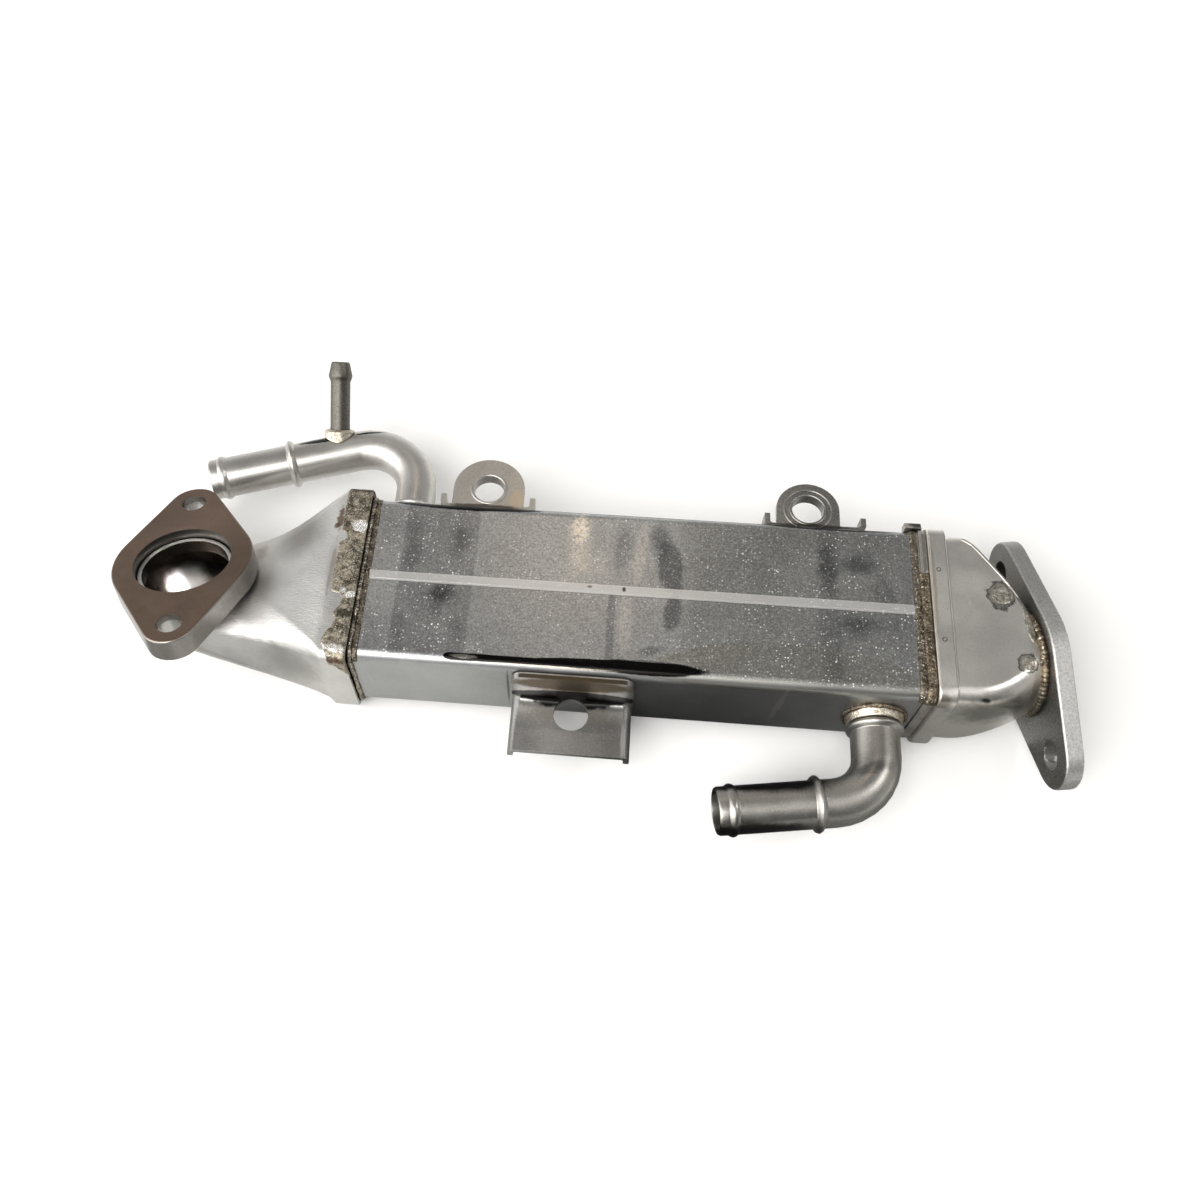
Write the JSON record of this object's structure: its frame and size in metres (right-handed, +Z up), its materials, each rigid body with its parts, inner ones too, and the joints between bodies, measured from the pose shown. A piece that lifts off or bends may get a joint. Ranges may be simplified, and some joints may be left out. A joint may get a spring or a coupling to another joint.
{
  "type": "exhaust gas recirculation cooler",
  "caption": "Exhaust gas cooler: finned flat gas tubes in a box water jacket, scooped inlet hood, tapered outlet hood, bolt flanges, hose pipes and sheet brackets.",
  "frame": {"origin": "middle of the water jacket's box, where its three middle planes meet", "axes": "+X along the core from the gas inlet end to the gas outlet end, +Y towards the side with the ear brackets and the vent nipple, +Z up, the side the gas inlet flange faces"},
  "size_m": [0.333, 0.1701, 0.0532],
  "materials": {
    "back_pipe_collar": "bright braze fillet",
    "back_water_pipe": "satin stainless sheet, with straw and brown heat tints near the brazed joints",
    "front_bracket": "satin pressed sheet, olive-brown at the weld",
    "front_pipe_collar": "golden braze fillet",
    "front_water_pipe": "satin stainless sheet, with straw and brown heat tints near the brazed joints",
    "gas_fin_1": "thin corrugated stainless strip",
    "gas_fin_2": "thin corrugated stainless strip",
    "gas_fin_3": "thin corrugated stainless strip",
    "gas_fin_4": "thin corrugated stainless strip",
    "gas_fin_5": "thin corrugated stainless strip",
    "gas_tube_1": "satin stainless sheet, with straw and brown heat tints near the brazed joints",
    "gas_tube_2": "satin stainless sheet, with straw and brown heat tints near the brazed joints",
    "gas_tube_3": "satin stainless sheet, with straw and brown heat tints near the brazed joints",
    "gas_tube_4": "satin stainless sheet, with straw and brown heat tints near the brazed joints",
    "gas_tube_5": "satin stainless sheet, with straw and brown heat tints near the brazed joints",
    "inlet_flange": "machined steel face, heat-tinted brown, edges bright",
    "inlet_header": "brazed stainless plate edge, straw and dark brown",
    "inlet_hood": "satin stainless sheet, with straw and brown heat tints near the brazed joints",
    "left_ear_bracket": "warm grey pressed sheet",
    "nipple_saddle": "bright braze fillet",
    "outlet_flange": "machined steel, dark grey face and silver edge band",
    "outlet_header": "brazed stainless plate edge, straw and dark brown",
    "outlet_hood": "satin stainless sheet, with straw and brown heat tints near the brazed joints",
    "right_ear_bracket": "warm grey pressed sheet",
    "vent_nipple": "satin stainless sheet, with straw and brown heat tints near the brazed joints",
    "water_jacket": "satin stainless sheet, with straw and brown heat tints near the brazed joints"
  },
  "bodies": {
    "root": {"back_pipe_collar": "back_pipe_collar", "back_water_pipe": "back_water_pipe", "front_bracket": "front_bracket", "front_pipe_collar": "front_pipe_collar", "front_water_pipe": "front_water_pipe", "gas_fin_1": "gas_fin_1", "gas_fin_2": "gas_fin_2", "gas_fin_3": "gas_fin_3", "gas_fin_4": "gas_fin_4", "gas_fin_5": "gas_fin_5", "gas_tube_1": "gas_tube_1", "gas_tube_2": "gas_tube_2", "gas_tube_3": "gas_tube_3", "gas_tube_4": "gas_tube_4", "gas_tube_5": "gas_tube_5", "inlet_flange": "inlet_flange", "inlet_header": "inlet_header", "inlet_hood": "inlet_hood", "left_ear_bracket": "left_ear_bracket", "nipple_saddle": "nipple_saddle", "outlet_flange": "outlet_flange", "outlet_header": "outlet_header", "outlet_hood": "outlet_hood", "right_ear_bracket": "right_ear_bracket", "vent_nipple": "vent_nipple", "water_jacket": "water_jacket"}
  },
  "joints": []
}
